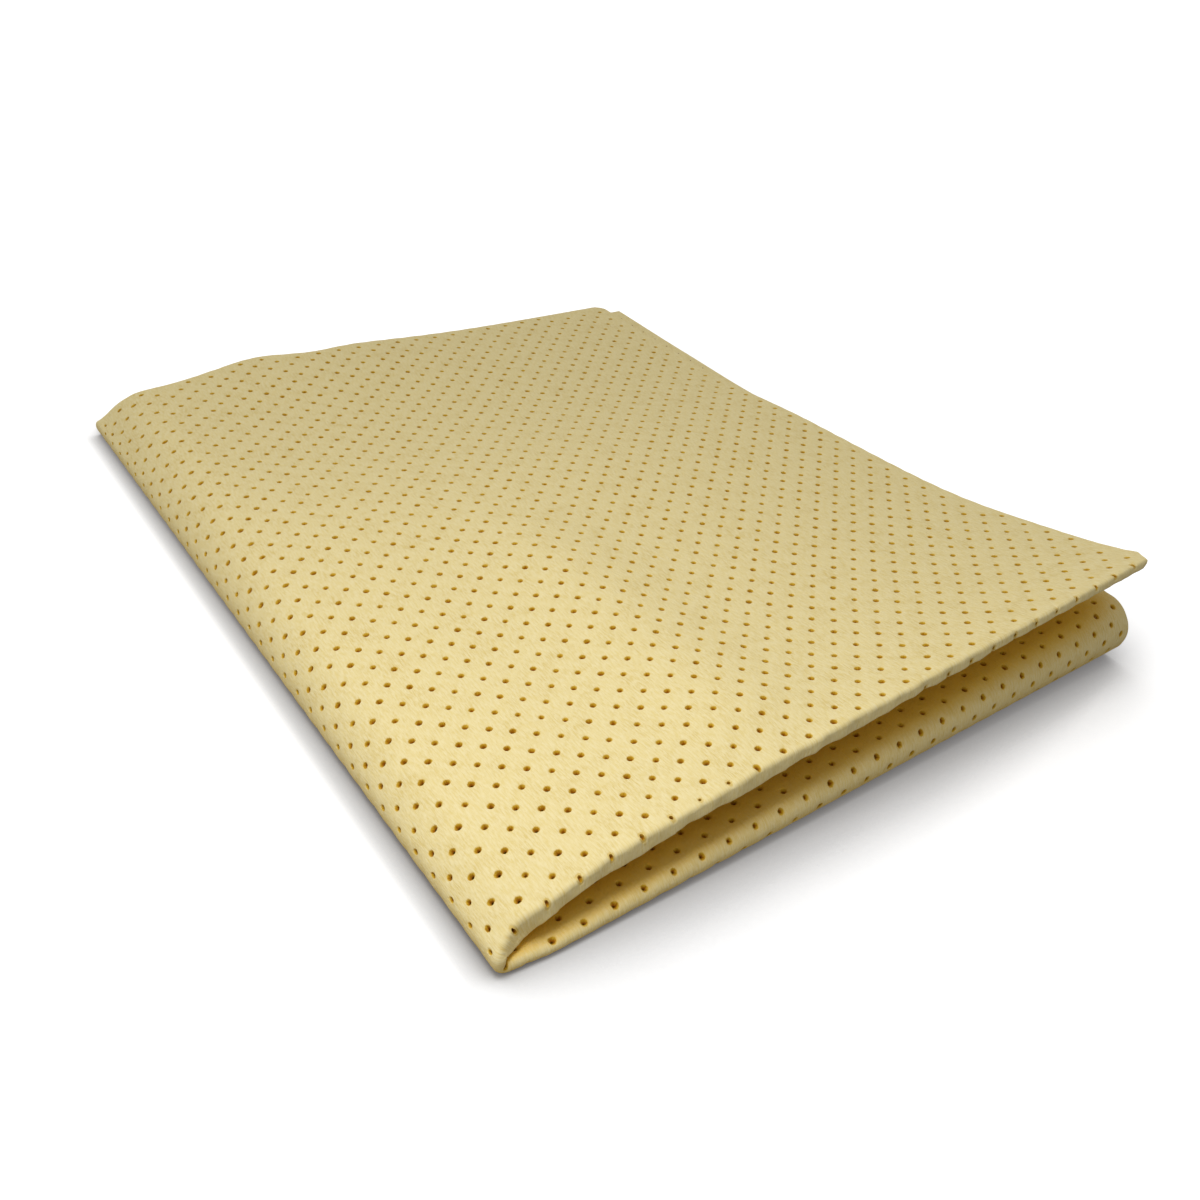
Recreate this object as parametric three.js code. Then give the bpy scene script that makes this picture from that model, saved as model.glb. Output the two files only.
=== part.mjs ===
// Perforated synthetic chamois, folded in quarters.
// The cloth is one rectangular sheet of needled nonwoven. It is folded in half along its length, which
// gives the doubled front edge, and in half again across its width, which gives the round left edge.
// Four layers lie on each other, joined by creases that cross at the near left corner, the nose.
// The bottom pair of layers keeps a loose roll along the front, and the top pair springs up at the right.
// Each node is a rectangle of the flat sheet, and one function folds every rectangle into its place.

import * as THREE from 'three';

const { clamp, lerp, smoothstep } = THREE.MathUtils;

// Driving dimensions, in millimetres.

// The flat sheet
const SHEET_WIDTH = 400; // across the left fold
const SHEET_LENGTH = 506; // across the front fold
const THICKNESS = 1.2;

// How closely the layers fold
const LAYER_GAP = 0.45; // air between the two layers of a pair
const FOOT_BEND = 0.3; // inside radius of the left fold where it turns up from the floor
const SHOULDER_NOSE = 11.1; // outside radius of the left fold's upper half, at the nose
const SHOULDER_MIDDLE = 13; // half way back
const SHOULDER_BACK = 13.5; // and at its back end
const SHOULDER_LOOSE = 60; // distance from the front where the layers stop turning as one
const DIP_NOSE = 4.2; // how far that upper half sinks below its round, at the nose
const DIP_MIDDLE = 1.7; // half way back
const DIP_BACK = 5.5; // and at its back end
const DIP_RUN = 10.3; // distance from the middle of the left fold where it sinks most
const INNER_DIP = 0.25; // share by which the inner layer sinks further than the outer
const LEFT_SLEW = 1.1; // how far the left fold's back end lies to the left, as the fold isn't quite square
const LEFT_SLEW_FADE = 90; // run over which the layers straighten out again

// The top pair's shape
const TOP_HEIGHT = 17.9; // upper surface over the floor, away from the edges
const REAR_SAG = 4.3; // how far the back half sinks
const REAR_SAG_FROM = 127; // distance from the front where it starts to sink
const REAR_SAG_TO = 197; // and where it has sunk
const RISE_RUN_FRONT = 69.9; // run over which the top climbs from the left fold, at the front
const RISE_RUN_BACK = 12.5; // and at the back
const RISE_EASE = 5; // run over which the climb starts
const FRONT_LIFT = 21.8; // how far the front right corner springs up
const FRONT_LIFT_REACH = 43.6; // how far back that lift reaches
const BACK_HUMP = 3; // wave in the back edge
const BACK_HUMP_X = 69.6; // its distance from the left fold
const BACK_HUMP_HALF_WIDTH = 42.2;
const BACK_HUMP_FROM = 208; // distance from the front where it starts
const FRONT_RIDGE = 3; // soft ridge that runs back from near the front edge
const FRONT_RIDGE_START = 25; // distance from the front where it has its full height
const FRONT_RIDGE_X = 72.7; // its distance from the left fold
const FRONT_RIDGE_HALF_WIDTH = 17.2;
const FRONT_RIDGE_FROM = 90; // distance from the front where it starts to die out
const FRONT_RIDGE_TO = 140; // and where it is gone

// The bottom pair's loose roll
const ROLL_HEIGHT = 17.2; // at its open right end
const ROLL_CLOSE = 120; // distance behind the front over which it closes
const ROLL_FORWARD = 0.7; // how far it stands in front of the top pair's crease
const ROLL_FORWARD_RUN = 15; // run from the nose over which it comes forward

// The slices of the sheet that bend, and the seams between the nodes
const LEFT_FOLD_ABOVE = 32; // from the middle of the left fold into the top pair
const LEFT_FOLD_BELOW = 12; // and into the bottom pair
const TOP_FOLD_WIDTH = 10;
const BOTTOM_FOLD_WIDTH = 32;
const SEAM = 0.3;
const PLAN_SHARE = 0.99; // share of a layer's length that shows in plan, as it is never quite flat

// Sizes that follow from these
const HALF_WIDTH = SHEET_WIDTH / 2;
const HALF_LENGTH = SHEET_LENGTH / 2;
const HALF_THICKNESS = THICKNESS / 2;
const HALF_SPACING = (THICKNESS + LAYER_GAP) / 2; // from the middle of a pair to the middle of a layer
const FOOT_RADIUS = FOOT_BEND + THICKNESS + 2 * HALF_SPACING; // outside radius of that turn
const PAIR_FRONT = HALF_SPACING + HALF_THICKNESS; // from a crease's outer face to the middle of its bend
const TOP_EDGE = TOP_FOLD_WIDTH / 2;
const BOTTOM_EDGE = BOTTOM_FOLD_WIDTH / 2;

// Grid cells of the nodes
const TOP_PANEL_CELLS = [18, 14];
const BOTTOM_PANEL_CELLS = [10, 12];
const LEFT_FOLD_CELLS = [22, 14];
const TOP_FOLD_CELLS = [18, 10];
const BOTTOM_FOLD_CELLS = [14, 14];
const NOSE_CELLS = [22, 10];

// A size of the left fold at a distance from the front, given at the nose, half way back and at the back.
function alongLeftFold(y, nose, middle, back) {
  const v = clamp(y / HALF_LENGTH, 0, 1);
  return nose * (1 - v) * (1 - 2 * v) + middle * 4 * v * (1 - v) + back * v * (2 * v - 1);
}

// Outside radius of the left fold's upper half.
function shoulderRadius(y) {
  return alongLeftFold(y, SHOULDER_NOSE, SHOULDER_MIDDLE, SHOULDER_BACK);
}

// How far the top pair sinks below that round, at a distance from the middle of the left fold.
function shoulderDip(distance, y) {
  const share = distance / DIP_RUN;
  return alongLeftFold(y, DIP_NOSE, DIP_MIDDLE, DIP_BACK) * share * share * Math.exp(2 * (1 - share));
}

// A rounded bump, 1 at its middle.
function bell(x, middle, halfWidth) {
  return Math.exp(-(((x - middle) / halfWidth) ** 2));
}

// Upper surface of the top pair at a run past the left fold and a distance from the front.
function topSurface(run, x, y) {
  const v = clamp(y / HALF_LENGTH, 0, 1);
  const left = FOOT_RADIUS + shoulderRadius(y);
  const climb = (run * run) / (run + RISE_EASE);
  const rise = 1 - Math.exp(-climb / lerp(RISE_RUN_FRONT, RISE_RUN_BACK, smoothstep(2 * v, 0, 1)));
  const level = TOP_HEIGHT - REAR_SAG * smoothstep(y, REAR_SAG_FROM, REAR_SAG_TO);
  const lift = FRONT_LIFT * (climb / HALF_WIDTH) * Math.exp(-Math.max(y, 0) / FRONT_LIFT_REACH);
  const hump = BACK_HUMP * bell(x, BACK_HUMP_X, BACK_HUMP_HALF_WIDTH) * rise;
  const ridge = FRONT_RIDGE * bell(x, FRONT_RIDGE_X, FRONT_RIDGE_HALF_WIDTH);
  const ridgeShare = smoothstep(y, 0, FRONT_RIDGE_START) - smoothstep(y, FRONT_RIDGE_FROM, FRONT_RIDGE_TO);
  const waves = hump * smoothstep(y, BACK_HUMP_FROM, HALF_LENGTH) + ridge * ridgeShare;
  return left + (level - left) * rise + lift + waves;
}

// Half the spacing of the bottom pair's two layers: it widens to the right and closes towards the back.
function bottomHalfSpacing(across, y) {
  const widest = ROLL_HEIGHT / 2 - HALF_THICKNESS;
  const widen = Math.max(across - LEFT_FOLD_BELOW, 0) / (HALF_WIDTH - LEFT_FOLD_BELOW);
  return HALF_SPACING + (widest - HALF_SPACING) * widen * (1 - smoothstep(y, 0, ROLL_CLOSE));
}

// Where a point of the flat sheet's middle surface lies once the sheet is folded.
// s is its distance from the left fold, positive in the top pair and negative in the bottom pair.
// t is its distance from the front fold, positive in the outer layers and negative in the inner ones.
function fold(s, t) {
  const isTop = s >= 0;
  const across = Math.abs(s);
  const along = Math.abs(t);

  const bend = isTop ? HALF_SPACING : bottomHalfSpacing(across, 0);
  const bendArc = (Math.PI / 2) * bend;
  const forward = isTop ? 0 : ROLL_FORWARD * smoothstep(across, 0, ROLL_FORWARD_RUN);
  const bendY = PAIR_FRONT + (Math.PI / 2) * (bend - HALF_SPACING) - forward;
  const turn = clamp(t / bend, -Math.PI / 2, Math.PI / 2);
  const back = Math.max(along - bendArc, 0);
  const y = bendY - bend * Math.cos(turn) + back;
  const spacing = isTop ? HALF_SPACING : bottomHalfSpacing(across, back);
  const offset = back > 0 ? Math.sign(t) * spacing : bend * Math.sin(turn);

  const leftRadius = isTop ? shoulderRadius(y) : FOOT_RADIUS;
  const pairRadius = leftRadius - PAIR_FRONT;
  const loose = clamp(offset, -HALF_SPACING, HALF_SPACING) * smoothstep(y, 0, SHOULDER_LOOSE);
  const ownRadius = pairRadius + loose;
  const angle = clamp(s / ownRadius, -Math.PI / 2, Math.PI / 2);
  const run = Math.max(across - (Math.PI / 2) * ownRadius, 0) * PLAN_SHARE;
  const slew = LEFT_SLEW * Math.exp(-run / LEFT_SLEW_FADE);
  const aside = -slew * (Math.max(y, 0) / HALF_LENGTH);
  const x = leftRadius - (pairRadius + offset) * Math.cos(angle) + run + aside;

  let z = FOOT_RADIUS + (pairRadius + offset) * Math.sin(angle);
  if (run > 0) {
    const top = topSurface(run, leftRadius + run, y) - PAIR_FRONT + offset;
    const bottom = HALF_THICKNESS + (back > 0 ? spacing : bend) - offset;
    z = isTop ? top : bottom;
  }
  const innerShare = (1 - offset / HALF_SPACING) / 2;
  const dip = isTop ? shoulderDip(angle * pairRadius + run, y) * (1 + INNER_DIP * innerShare) : 0;
  return new THREE.Vector3(x, y, z - dip);
}

// The sheet's outward normal at a point, from the fold on either side of it.
function foldNormal(s, t) {
  const step = 0.01;
  const alongS = fold(s + step, t).sub(fold(s - step, t));
  const alongT = fold(s, t + step).sub(fold(s, t - step));
  return alongS.cross(alongT).normalize();
}

const chamois = new THREE.MeshStandardMaterial({ color: '#e9d9a6', roughness: 0.95, metalness: 0 });

// A rectangle of the sheet, cut flat as a thin board and then folded into its place.
function sheetPiece(name, [sFrom, sTo], [tFrom, tTo], [sCells, tCells]) {
  const flat = new THREE.BoxGeometry(sTo - sFrom, tTo - tFrom, THICKNESS, sCells, tCells, 1);
  flat.translate((sFrom + sTo) / 2, (tFrom + tTo) / 2, 0);
  const place = flat.getAttribute('position');
  for (let i = 0; i < place.count; i += 1) {
    const s = place.getX(i);
    const t = place.getY(i);
    const point = fold(s, t).addScaledVector(foldNormal(s, t), place.getZ(i));
    place.setXYZ(i, point.x, point.y, point.z);
  }
  flat.computeVertexNormals();
  const piece = new THREE.Mesh(flat, chamois);
  piece.name = name;
  return piece;
}

// The pieces of the sheet. A seam parts each from the next.
const topSpan = [LEFT_FOLD_ABOVE + SEAM, HALF_WIDTH];
const bottomSpan = [-HALF_WIDTH, -LEFT_FOLD_BELOW - SEAM];
const leftSpan = [-LEFT_FOLD_BELOW, LEFT_FOLD_ABOVE];
const outerOf = (edge) => [edge + SEAM, HALF_LENGTH];
const innerOf = (edge) => [-HALF_LENGTH, -edge - SEAM];
const bendOf = (edge) => [-edge, edge];

const cloth = new THREE.Group();
cloth.add(
  sheetPiece('top_outer_panel', topSpan, outerOf(TOP_EDGE), TOP_PANEL_CELLS),
  sheetPiece('top_inner_panel', topSpan, innerOf(TOP_EDGE), TOP_PANEL_CELLS),
  sheetPiece('top_front_fold', topSpan, bendOf(TOP_EDGE), TOP_FOLD_CELLS),
  sheetPiece('bottom_outer_panel', bottomSpan, outerOf(BOTTOM_EDGE), BOTTOM_PANEL_CELLS),
  sheetPiece('bottom_inner_panel', bottomSpan, innerOf(BOTTOM_EDGE), BOTTOM_PANEL_CELLS),
  sheetPiece('bottom_front_fold', bottomSpan, bendOf(BOTTOM_EDGE), BOTTOM_FOLD_CELLS),
  sheetPiece('left_outer_fold', leftSpan, outerOf(TOP_EDGE), LEFT_FOLD_CELLS),
  sheetPiece('left_inner_fold', leftSpan, innerOf(TOP_EDGE), LEFT_FOLD_CELLS),
  sheetPiece('nose_fold', leftSpan, bendOf(TOP_EDGE), NOSE_CELLS),
);

// The origin is at the middle of the cloth's footprint, on the floor.
const box = new THREE.Box3().setFromObject(cloth);
const middle = box.getCenter(new THREE.Vector3());
cloth.position.set(-middle.x, -middle.y, -box.min.z);

export default cloth;
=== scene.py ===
# A perforated synthetic chamois, folded in quarters and laid on a white table.
import math

import bmesh
import bpy
import numpy as np
from mathutils import Matrix, Vector


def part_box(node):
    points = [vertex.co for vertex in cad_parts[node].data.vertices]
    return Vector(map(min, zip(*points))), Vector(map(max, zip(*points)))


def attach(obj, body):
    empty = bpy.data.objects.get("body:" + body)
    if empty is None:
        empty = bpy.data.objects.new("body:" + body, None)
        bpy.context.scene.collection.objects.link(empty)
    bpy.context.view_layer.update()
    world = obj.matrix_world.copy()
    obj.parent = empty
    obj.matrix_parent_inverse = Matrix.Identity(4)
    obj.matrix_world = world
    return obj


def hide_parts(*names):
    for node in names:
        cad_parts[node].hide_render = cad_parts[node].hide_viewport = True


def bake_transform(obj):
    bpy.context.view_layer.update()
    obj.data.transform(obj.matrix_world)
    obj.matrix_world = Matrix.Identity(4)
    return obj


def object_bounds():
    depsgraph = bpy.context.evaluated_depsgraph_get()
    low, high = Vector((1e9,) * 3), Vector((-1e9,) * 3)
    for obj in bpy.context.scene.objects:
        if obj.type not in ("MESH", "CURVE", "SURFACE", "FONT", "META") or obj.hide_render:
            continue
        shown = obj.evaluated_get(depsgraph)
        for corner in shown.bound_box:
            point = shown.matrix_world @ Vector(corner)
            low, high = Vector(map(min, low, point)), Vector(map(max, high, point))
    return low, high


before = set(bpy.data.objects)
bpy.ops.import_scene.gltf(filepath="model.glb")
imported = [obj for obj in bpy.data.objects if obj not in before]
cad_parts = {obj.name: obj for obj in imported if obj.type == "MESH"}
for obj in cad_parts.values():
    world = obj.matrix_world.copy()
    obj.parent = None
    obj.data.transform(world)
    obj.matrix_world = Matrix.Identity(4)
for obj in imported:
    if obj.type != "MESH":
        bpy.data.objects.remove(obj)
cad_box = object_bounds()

# The cloth
# Needled nonwoven: short fibres laid mostly along the sheet and felted by needles into a soft, matt web.
# The eye sees a cream field with faint streaks. Between layers a painted golden shade stands in for lost
# light.
MM = 0.001
FIBRE_WIDTH = 0.42 * MM  # drawn coarser than a real fibre, so that it shows
FIBRE_LENGTH = 2.4 * MM
FIBRE_SPREAD = math.radians(20)
CLUMP_SIZE = 0.8 * MM
CLOUD_SIZE = 7 * MM
FIBRE_RELIEF = 0.13 * MM
FRAY_SIZE = 0.5 * MM
FRAY_SHARE = 0.7
FIBRE_FROM = 0.42  # the pale fibres come out between these heights of the noise
FIBRE_TO = 0.72
FIBRE_SHOW = 0.9
CLOUD_FROM = 0.3
CLOUD_TO = 0.55
SHELTER = 28 * MM  # how near another layer must be for the painted golden shade
SHELTER_PULL = (0, 0, 0.9)  # mostly what lies above takes it
SHELTER_NONE = 0.85
SHELTER_FULL = 0.4
WALL_SHOW = (0.08, 0.4)  # a hole's painted shade comes in with its depth
WALL_DARKEN = (0.35, 0.85)
CREAM = "#F1DC98"
STRAW = "#E8D087"
PALE_FIBRE = "#FAEAB5"
# painted shade: the golden tint between layers, and the amber to umber in holes and along cut edges
SHADE_GOLD = "#EDC033"
HOLE_SHADE_AMBER = "#D4AC30"
HOLE_SHADE_UMBER = "#A66A00"


def linear(colour):
    """Linear red, green, blue and alpha of an sRGB hex colour."""
    parts = [int(colour[i:i + 2], 16) / 255 for i in (1, 3, 5)]
    return [c / 12.92 if c <= 0.04045 else ((c + 0.055) / 1.055) ** 2.4 for c in parts] + [1.0]


def add_node(tree, kind, inputs=None, **settings):
    """Adds a node, with its settings, and sets or links its inputs."""
    node = tree.nodes.new(kind)
    for name, value in settings.items():
        setattr(node, name, value)
    for socket, value in (inputs or {}).items():
        if isinstance(value, bpy.types.NodeSocket):
            tree.links.new(value, node.inputs[socket])
        else:
            node.inputs[socket].default_value = value
    return node


nonwoven = bpy.data.materials.new("needled_nonwoven")
nonwoven.use_nodes = True
web = nonwoven.node_tree
surface = web.nodes["Principled BSDF"]
flat_map = add_node(web, "ShaderNodeUVMap", uv_map="flat_sheet")
streaks = []
for lean in (-FIBRE_SPREAD, FIBRE_SPREAD):
    laid = add_node(web, "ShaderNodeMapping", {
        "Vector": flat_map.outputs["UV"],
        "Rotation": (0, 0, lean),
        "Scale": (1 / FIBRE_WIDTH, 1 / FIBRE_LENGTH, 1),
    })
    streaks.append(add_node(web, "ShaderNodeTexNoise", {
        "Vector": laid.outputs["Vector"],
        "Scale": 1.0,
        "Detail": 2.0,
        "Roughness": 0.6,
    }, noise_dimensions="2D"))
crossed = add_node(web, "ShaderNodeMath", {
    0: streaks[0].outputs["Fac"],
    1: streaks[1].outputs["Fac"],
}, operation="MAXIMUM")
clumps = add_node(web, "ShaderNodeTexNoise", {
    "Vector": flat_map.outputs["UV"],
    "Scale": 1 / CLUMP_SIZE,
    "Detail": 3.0,
}, noise_dimensions="2D")
clouds = add_node(web, "ShaderNodeTexNoise", {
    "Vector": flat_map.outputs["UV"],
    "Scale": 1 / CLOUD_SIZE,
    "Detail": 4.0,
    "Roughness": 0.7,
}, noise_dimensions="2D")
field = add_node(web, "ShaderNodeValToRGB", {"Fac": clouds.outputs["Fac"]})
field.color_ramp.elements[0].position = CLOUD_FROM
field.color_ramp.elements[0].color = linear(STRAW)
field.color_ramp.elements[1].position = CLOUD_TO
field.color_ramp.elements[1].color = linear(CREAM)
fibre_show = add_node(web, "ShaderNodeMapRange", {
    "Value": crossed.outputs["Value"],
    "From Min": FIBRE_FROM,
    "From Max": FIBRE_TO,
    "To Max": FIBRE_SHOW,
})
fibred = add_node(web, "ShaderNodeMix", {
    "Factor": fibre_show.outputs["Result"],
    "A": field.outputs["Color"],
    "B": linear(PALE_FIBRE),
}, data_type="RGBA")
facing_out = add_node(web, "ShaderNodeNewGeometry")
facing_up = add_node(web, "ShaderNodeVectorMath", {
    0: facing_out.outputs["Normal"],
    1: SHELTER_PULL,
}, operation="ADD")
upward = add_node(web, "ShaderNodeVectorMath", {0: facing_up.outputs["Vector"]}, operation="NORMALIZE")
# painted shade: where other layers shut the sky out, the colour turns golden
open_sky = add_node(web, "ShaderNodeAmbientOcclusion", {
    "Distance": SHELTER,
    "Normal": upward.outputs["Vector"],
}, samples=6)
sheltered = add_node(web, "ShaderNodeMapRange", {
    "Value": open_sky.outputs["AO"],
    "From Min": SHELTER_NONE,
    "From Max": SHELTER_FULL,
}, interpolation_type="SMOOTHSTEP")
crevice_shaded = add_node(web, "ShaderNodeMix", {
    "Factor": sheltered.outputs["Result"],
    "A": fibred.outputs["Result"],
    "B": linear(SHADE_GOLD),
}, data_type="RGBA")
# painted shade in the holes and along the cut edges: amber near the face, umber deeper in, made ragged by a
# noise
depth = add_node(web, "ShaderNodeAttribute", attribute_name="painted_shade_depth")
frayed = add_node(web, "ShaderNodeTexNoise", {
    "Vector": flat_map.outputs["UV"],
    "Scale": 1 / FRAY_SIZE,
    "Detail": 1.0,
}, noise_dimensions="2D")
fray = add_node(web, "ShaderNodeMath", {
    0: frayed.outputs["Fac"],
    1: FRAY_SHARE,
    2: -FRAY_SHARE / 2,
}, operation="MULTIPLY_ADD")
ragged_shade_depth = add_node(web, "ShaderNodeMath", {
    0: depth.outputs["Fac"],
    1: fray.outputs["Value"],
}, operation="ADD")
hole_shade_colour = add_node(web, "ShaderNodeValToRGB", {"Fac": ragged_shade_depth.outputs["Value"]})
hole_shade_colour.color_ramp.elements[0].position = WALL_DARKEN[0]
hole_shade_colour.color_ramp.elements[0].color = linear(HOLE_SHADE_AMBER)
hole_shade_colour.color_ramp.elements[1].position = WALL_DARKEN[1]
hole_shade_colour.color_ramp.elements[1].color = linear(HOLE_SHADE_UMBER)
wall_share = add_node(web, "ShaderNodeMapRange", {
    "Value": depth.outputs["Fac"],
    "From Min": WALL_SHOW[0],
    "From Max": WALL_SHOW[1],
}, interpolation_type="SMOOTHSTEP")
hole_shaded = add_node(web, "ShaderNodeMix", {
    "Factor": wall_share.outputs["Result"],
    "A": crevice_shaded.outputs["Result"],
    "B": hole_shade_colour.outputs["Color"],
}, data_type="RGBA")
grain = add_node(web, "ShaderNodeMath", {
    0: crossed.outputs["Value"],
    1: clumps.outputs["Fac"],
}, operation="ADD")
relief = add_node(web, "ShaderNodeBump", {
    "Height": grain.outputs["Value"],
    "Strength": 0.7,
    "Distance": FIBRE_RELIEF,
})
web.links.new(hole_shaded.outputs["Result"], surface.inputs["Base Color"])
web.links.new(relief.outputs["Normal"], surface.inputs["Normal"])
surface.inputs["Roughness"].default_value = 0.92
surface.inputs["Specular IOR Level"].default_value = 0.1
surface.inputs["Sheen Weight"].default_value = 0.06
surface.inputs["Sheen Roughness"].default_value = 0.6

# The punched blank
# The sheet is needled first and then punched with small round holes in a square lattice, set on its corner.
# Each hole is drawn in at its rim by the punch, so a cell has a flat skirt, a rim and a hole.
HALF_STEP = 3.76 * MM  # from one row of holes to the next
HOLE_RADIUS = 0.66 * MM
RIM_RADIUS = 1.0 * MM
HOLE_SIDES = 10
CELL_CORNERS = 12
WELD = 0.01 * MM

blank_tree = bpy.data.node_groups.new("punched_blank", "GeometryNodeTree")
blank_inputs = {}
for name, kind in (
    ("Half Step", "NodeSocketFloat"),
    ("Hole Radius", "NodeSocketFloat"),
    ("Rim Radius", "NodeSocketFloat"),
    ("Columns", "NodeSocketInt"),
    ("Rows", "NodeSocketInt"),
):
    socket = blank_tree.interface.new_socket(name=name, in_out="INPUT", socket_type=kind)
    blank_inputs[name] = socket.identifier
blank_tree.interface.new_socket(name="Geometry", in_out="OUTPUT", socket_type="NodeSocketGeometry")
given = add_node(blank_tree, "NodeGroupInput").outputs
full_step = add_node(blank_tree, "ShaderNodeMath", {0: given["Half Step"], 1: 2.0}, operation="MULTIPLY")
tile = add_node(blank_tree, "GeometryNodeCurvePrimitiveQuadrilateral", {
    "Width": full_step.outputs["Value"],
    "Height": given["Half Step"],
})
tile_outline = add_node(blank_tree, "GeometryNodeResampleCurve", {
    "Curve": tile.outputs["Curve"],
    "Count": CELL_CORNERS,
})
rim = add_node(blank_tree, "GeometryNodeCurvePrimitiveCircle", {
    "Resolution": HOLE_SIDES,
    "Radius": given["Rim Radius"],
})
hole = add_node(blank_tree, "GeometryNodeCurvePrimitiveCircle", {
    "Resolution": HOLE_SIDES,
    "Radius": given["Hole Radius"],
})
rings = []
for outer, inner in ((tile_outline, rim), (rim, hole)):
    pair = add_node(blank_tree, "GeometryNodeJoinGeometry")
    blank_tree.links.new(outer.outputs["Curve"], pair.inputs["Geometry"])
    blank_tree.links.new(inner.outputs["Curve"], pair.inputs["Geometry"])
    rings.append(add_node(blank_tree, "GeometryNodeFillCurve", {"Curve": pair.outputs["Geometry"]}))
cell = add_node(blank_tree, "GeometryNodeJoinGeometry")
for ring in rings:
    blank_tree.links.new(ring.outputs["Mesh"], cell.inputs["Geometry"])
index = add_node(blank_tree, "GeometryNodeInputIndex").outputs["Index"]
column = add_node(blank_tree, "ShaderNodeMath", {0: index, 1: given["Columns"]}, operation="MODULO")
turns = add_node(blank_tree, "ShaderNodeMath", {0: index, 1: given["Columns"]}, operation="DIVIDE")
row = add_node(blank_tree, "ShaderNodeMath", {0: turns.outputs["Value"]}, operation="FLOOR")
stagger = add_node(blank_tree, "ShaderNodeMath", {0: row.outputs["Value"], 1: 2.0}, operation="MODULO")
along_row = add_node(blank_tree, "ShaderNodeMath", {
    0: column.outputs["Value"],
    1: 2.0,
    2: stagger.outputs["Value"],
}, operation="MULTIPLY_ADD")
steps = add_node(blank_tree, "ShaderNodeCombineXYZ", {
    "X": along_row.outputs["Value"],
    "Y": row.outputs["Value"],
})
place = add_node(blank_tree, "ShaderNodeVectorMath", {
    0: steps.outputs["Vector"],
    "Scale": given["Half Step"],
}, operation="SCALE")
count = add_node(blank_tree, "ShaderNodeMath", {0: given["Columns"], 1: given["Rows"]}, operation="MULTIPLY")
centres = add_node(blank_tree, "GeometryNodePoints", {
    "Count": count.outputs["Value"],
    "Position": place.outputs["Vector"],
})
laid_out = add_node(blank_tree, "GeometryNodeInstanceOnPoints", {
    "Points": centres.outputs["Points"],
    "Instance": cell.outputs["Geometry"],
})
real = add_node(blank_tree, "GeometryNodeRealizeInstances", {"Geometry": laid_out.outputs["Instances"]})
welded = add_node(blank_tree, "GeometryNodeMergeByDistance", {
    "Geometry": real.outputs["Geometry"],
    "Distance": WELD,
})
dressed = add_node(blank_tree, "GeometryNodeSetMaterial", {
    "Geometry": welded.outputs["Geometry"],
    "Material": nonwoven,
})
add_node(blank_tree, "NodeGroupOutput", {"Geometry": dressed.outputs["Geometry"]})

# The sheet's cut and its holes
# The blank is cut to about 40 by 50 cm. The rows of holes run a little askew to the folds, and the long edges
# wander a little. A place on the flat sheet is (across, along), from where the two folds cross.
HALF_WIDTH = 200 * MM
HALF_LENGTH = 253 * MM
CREASE_BACK = 2.4 * MM  # the top pair is creased this far from the middle of the sheet
CREASE_BACK_RUN = 12 * MM
ROLL_DOWN = 3.2 * MM  # the bottom pair is rolled this far to the other side of the middle
THICKNESS = 1.2 * MM
HALF_THICKNESS = THICKNESS / 2
EDGE_OUT = 1.5 * MM  # how far the top pair's long edge lies outside its line
EDGE_WAVE = 2.6 * MM
EDGE_WAVE_AT = 36 * MM
EDGE_WAVE_REACH = 24 * MM
EDGE_WAIST = 1.6 * MM
EDGE_WAIST_AT = 150 * MM
EDGE_WAIST_REACH = 32 * MM
INNER_TUCK = 2.5 * MM  # how far the inner layer's edge hides under the outer one's
INNER_PEEK = 5.5 * MM  # and how far it comes out again, at the back
INNER_FLARE = 1.0 * MM
INNER_TUCK_FROM = 10 * MM
INNER_TUCK_TO = 60 * MM
INNER_PEEK_FROM = 135 * MM
INNER_PEEK_TO = 195 * MM
TIP_BLUNT = 5 * MM  # the crease's end is rounded off
TIP_RUN = 7 * MM
BACK_NIP = 3.5 * MM
BACK_NIP_AT = 29 * MM
BACK_NIP_REACH = 15 * MM
BACK_WAVE = 2 * MM
BACK_WAVE_AT = 60 * MM
BACK_WAVE_STEP = 20 * MM
BACK_WAVE_REACH = 11 * MM
EDGE_ZONE = 12 * MM
EDGE_CLEAR = 1.9 * MM  # holes nearer to a cut edge are pressed shut
UNDER_CREASE = (-6.5 * MM, -0.8 * MM)  # and so are those on the crease's under side
ON_CREASE = 2.0 * MM
PRESSED = 0.6
SHUT = 0.03
CORNER_RADIUS = 4 * MM
ROW_LEAN = math.radians(1.186)
COLUMN_LEAN = math.radians(0.027)
FIRST_HOLE = (21.08 * MM, 14.77 * MM)
HOLE_SPREAD = 0.16  # share of its radius by which one hole may be wider than another
HOLE_DRIFT = 0.12 * MM
SCATTER = (12.9898, 78.233, 37.719, 43758.5453)  # a sine this steep gives each hole its own chance
THROAT_SHARE = 0.4  # the hole narrows to this share of its width at the inner face
LIP_DEPTH = 0.24 * MM
RIM_SHADE = 0.4  # how deep a hole's rim, its throat and a cut edge count for their painted shade
THROAT_SHADE = 1.0
EDGE_SHADE = 0.2
DIMPLE_DEPTH = 0.12 * MM
DIMPLE_REACH = 1.7 * MM
CUT_LINE = 1e-8  # a point nearer than this counts as on the cut
SPARE_CELLS = 3  # the blank reaches this far past the piece that is cut from it
row_step = Vector((1, math.tan(ROW_LEAN), 0)) * HALF_STEP
column_step = Vector((-math.tan(COLUMN_LEAN), 1, 0)) * HALF_STEP
LATTICE = Matrix((
    (row_step.x, column_step.x, 0, FIRST_HOLE[0]),
    (row_step.y, column_step.y, 0, FIRST_HOLE[1]),
    (0, 0, 1, 0),
    (0, 0, 0, 1),
))
LATTICE_BACK = LATTICE.inverted()


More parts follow.
